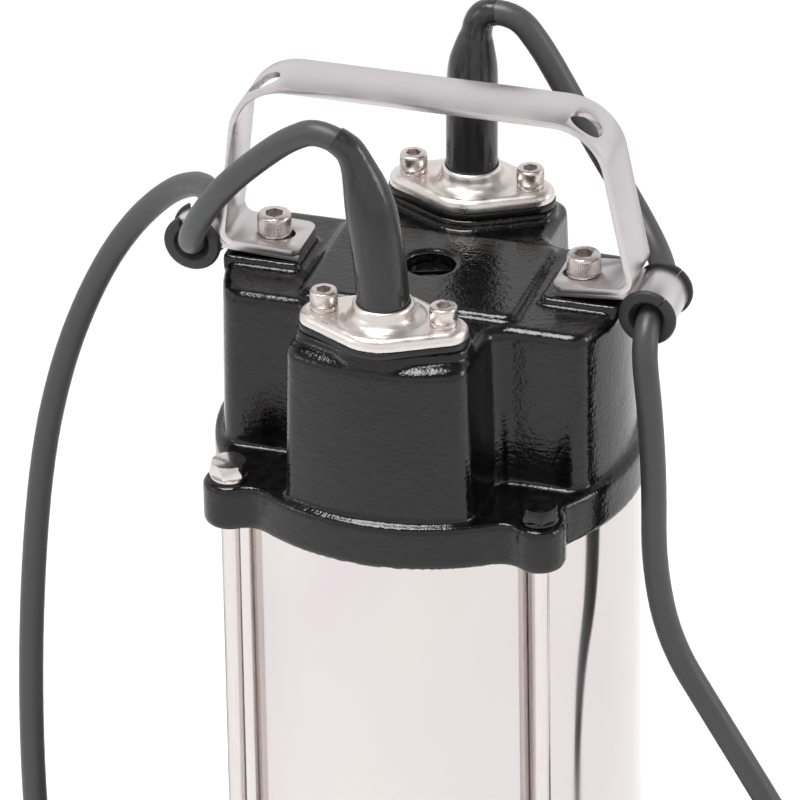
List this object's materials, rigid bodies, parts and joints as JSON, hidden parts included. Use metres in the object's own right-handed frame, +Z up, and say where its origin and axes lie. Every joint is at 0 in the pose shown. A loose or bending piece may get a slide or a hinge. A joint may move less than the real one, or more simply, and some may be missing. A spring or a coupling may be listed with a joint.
{
  "type": "submersible sump pump",
  "caption": "Submersible sump pump: polished steel motor shell under a lobed black cast cap, strap handle, two sleeved cables in clips, float switch, spiral casing and discharge elbow.",
  "frame": {"origin": "where the shaft line meets the floor, midway between the four feet", "axes": "+Z up along the shaft, towards the handle; X along the handle from its left foot to its right foot as in the picture; +Y away from the viewer, towards the discharge elbow"},
  "size_m": [0.4204, 0.3775, 0.5387],
  "materials": {
    "cap_enamel": "glossy black enamel on cast iron, slight orange peel",
    "shell_steel": "polished stainless tube",
    "strip_steel": "satin stainless",
    "screw_steel": "bright stainless",
    "black_rubber": "matt moulded rubber",
    "cable_rubber": "dark grey cable sheath",
    "pin_brass": "nickel-plated brass",
    "float_plastic": "moulded polypropylene",
    "bearing_steel": "ground bearing steel",
    "lamination_steel": "varnished laminations",
    "winding_copper": "varnished copper wire",
    "shaft_steel": "ground stainless",
    "cast_iron": "bare cast iron",
    "seal_ceramic": "ceramic and carbon seal rings",
    "grey_plastic": "moulded housing"
  },
  "bodies": {
    "pump": {"cable_clip_left": "strip_steel", "cable_clip_right": "strip_steel", "cable_seals": "black_rubber", "cable_sleeve_front": "black_rubber", "cable_sleeve_rear": "black_rubber", "capacitor": "grey_plastic", "casing_screws": "screw_steel", "centre_plug": "cap_enamel", "discharge_elbow": "cap_enamel", "elbow_gasket": "black_rubber", "elbow_screws": "screw_steel", "float_cord": "cable_rubber", "float_microswitch": "float_plastic", "float_shell_lower": "float_plastic", "float_shell_upper": "float_plastic", "gland_flange_front": "strip_steel", "gland_flange_rear": "strip_steel", "gland_gaskets": "black_rubber", "gland_screws": "screw_steel", "gland_washers": "screw_steel", "grommet_left": "black_rubber", "grommet_right": "black_rubber", "handle": "strip_steel", "handle_screws": "screw_steel", "handle_washers": "screw_steel", "lower_bearing_outer": "bearing_steel", "mains_coil": "cable_rubber", "mains_cord": "cable_rubber", "motor_shell": "shell_steel", "oil_chamber": "cap_enamel", "oil_plug": "cap_enamel", "plug_body": "black_rubber", "plug_contacts": "pin_brass", "plug_cord": "cable_rubber", "plug_pins": "pin_brass", "pump_feet": "cap_enamel", "seal_plate": "cap_enamel", "seal_seats": "seal_ceramic", "stator_core": "lamination_steel", "stator_windings": "winding_copper", "suction_plate": "cap_enamel", "suction_screws": "screw_steel", "terminal_block": "grey_plastic", "tie_rod_nuts": "screw_steel", "tie_rod_washers": "screw_steel", "tie_rods": "screw_steel", "top_cap": "cap_enamel", "upper_bearing_bracket": "cast_iron", "upper_bearing_outer": "bearing_steel", "volute_casing": "cap_enamel"},
    "rotor": {"shaft": "shaft_steel", "rotor_core": "lamination_steel", "upper_bearing_inner": "bearing_steel", "lower_bearing_inner": "bearing_steel", "seal_rotating_rings": "seal_ceramic", "impeller": "cast_iron", "impeller_key": "screw_steel", "impeller_nut": "screw_steel"},
    "switch_ball": {"float_ball": "bearing_steel"}
  },
  "joints": [
    {"name": "rotor_spin", "type": "hinge", "parent": "pump", "child": "rotor", "pos_m": [0, 0, 0.25], "axis": [0, 0, 1], "continuous": true},
    {"name": "ball_roll", "type": "slide", "parent": "pump", "child": "switch_ball", "axis": [0, 1, 0], "range_m": [0, 0.034]}
  ]
}
